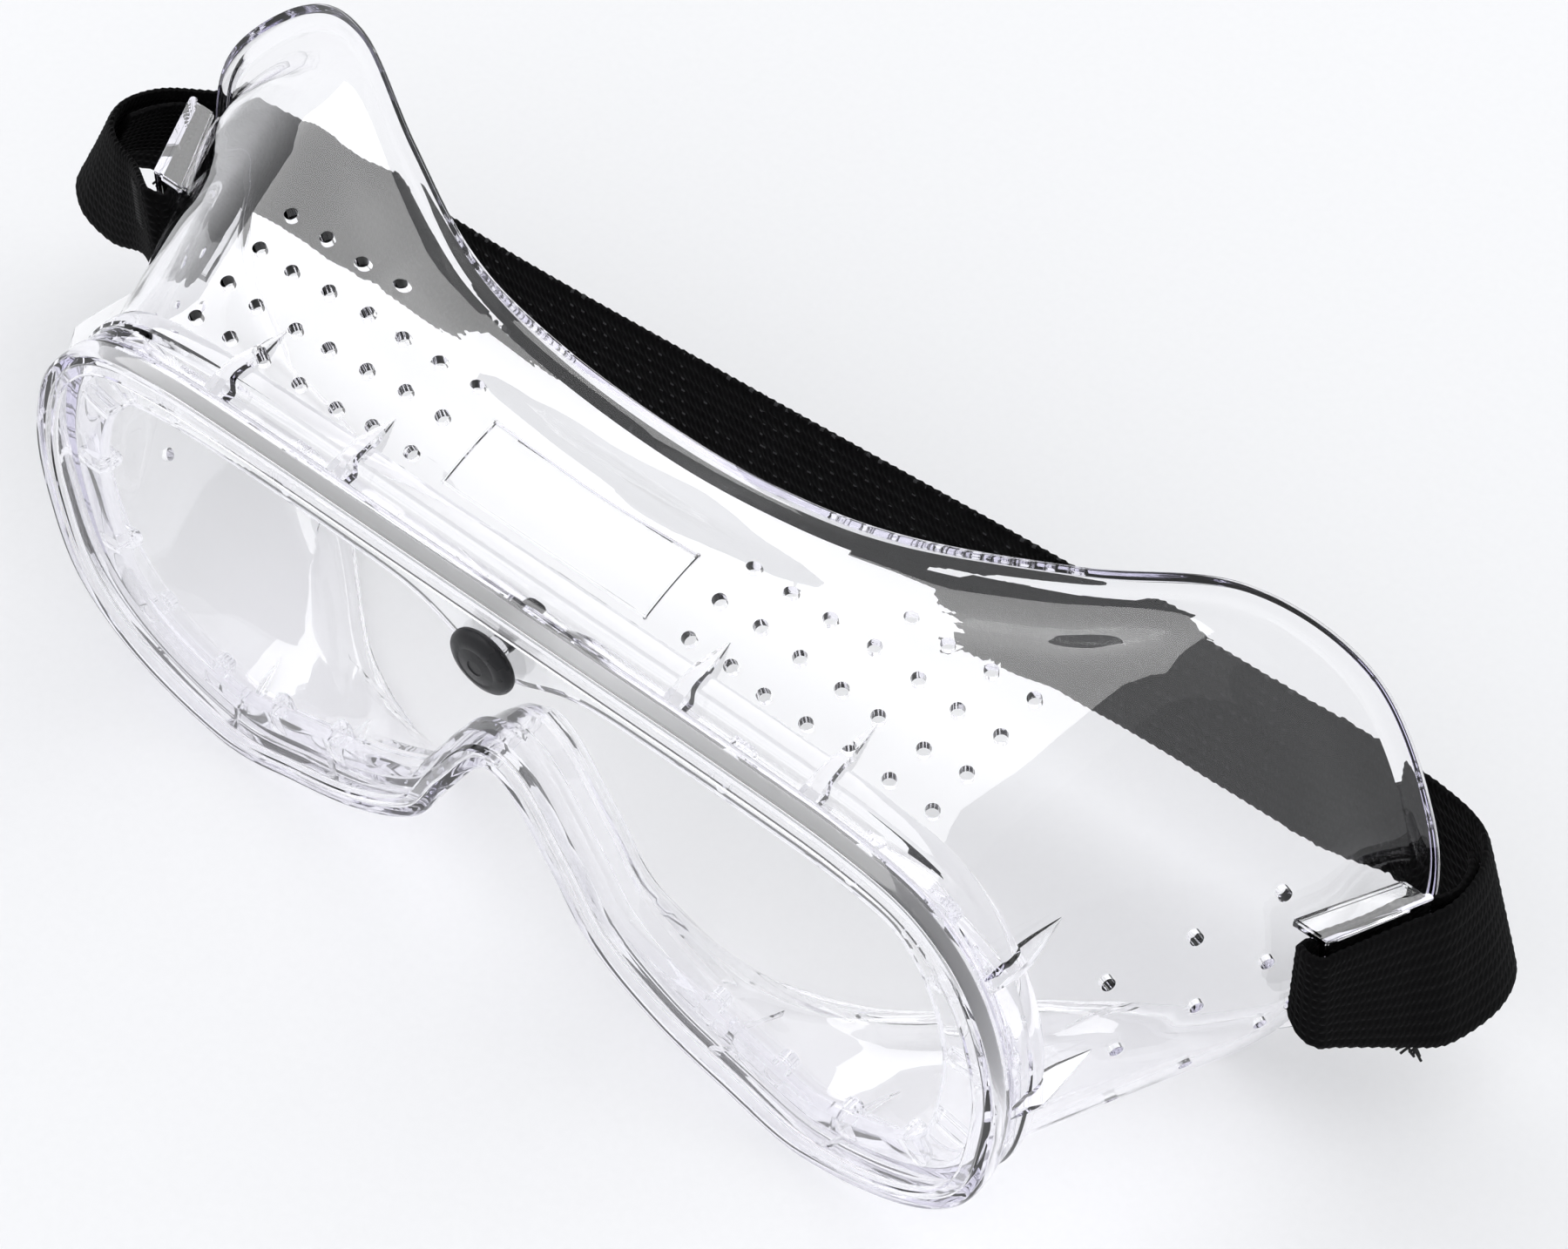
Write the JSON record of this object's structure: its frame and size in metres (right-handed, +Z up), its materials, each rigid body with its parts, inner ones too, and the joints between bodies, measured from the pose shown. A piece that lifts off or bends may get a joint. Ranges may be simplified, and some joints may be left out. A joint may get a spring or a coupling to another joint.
{
  "type": "safety goggles",
  "caption": "Clear soft safety goggles with direct vents, a flat clear lens, a black lens stud and a black elastic head strap looped round a lug at each temple.",
  "frame": {"origin": "on the lens's front face, on the plane of symmetry of the goggles, 43.5 mm above the surface they stand on", "axes": "+Y from the lens towards the face, +Z up, +X to the right as seen from in front of the lens, which is the wearer's left; left and right in node names are as seen from in front"},
  "size_m": [0.2144, 0.0673, 0.0709],
  "materials": {
    "clear_frame": "clear soft PVC, glossy, faint lavender tint where it is thick",
    "clear_lens": "clear polycarbonate, polished",
    "black_stud": "gloss black",
    "black_elastic": "woven black elastic, matt"
  },
  "bodies": {
    "frame": {"frame_rim": "clear_frame", "frame_brow": "clear_frame", "frame_temple_left": "clear_frame", "frame_temple_right": "clear_frame", "frame_cheek_left": "clear_frame", "frame_cheek_right": "clear_frame", "frame_nose": "clear_frame", "lug_left": "clear_frame", "lug_right": "clear_frame", "lens": "clear_lens", "strap_end_left": "black_elastic", "strap_end_right": "black_elastic"},
    "stud": {"lens_stud": "black_stud"},
    "strap": {"strap_band": "black_elastic"}
  },
  "joints": [
    {"name": "lens_stud_pull", "type": "slide", "parent": "frame", "child": "stud", "axis": [0, -1, 0], "range_m": [0, 0.0065]},
    {"name": "strap_swing", "type": "hinge", "parent": "frame", "child": "strap", "pos_m": [0, 0.043, -0.009], "axis": [1, 0, 0], "range_deg": [-25, 25]}
  ]
}
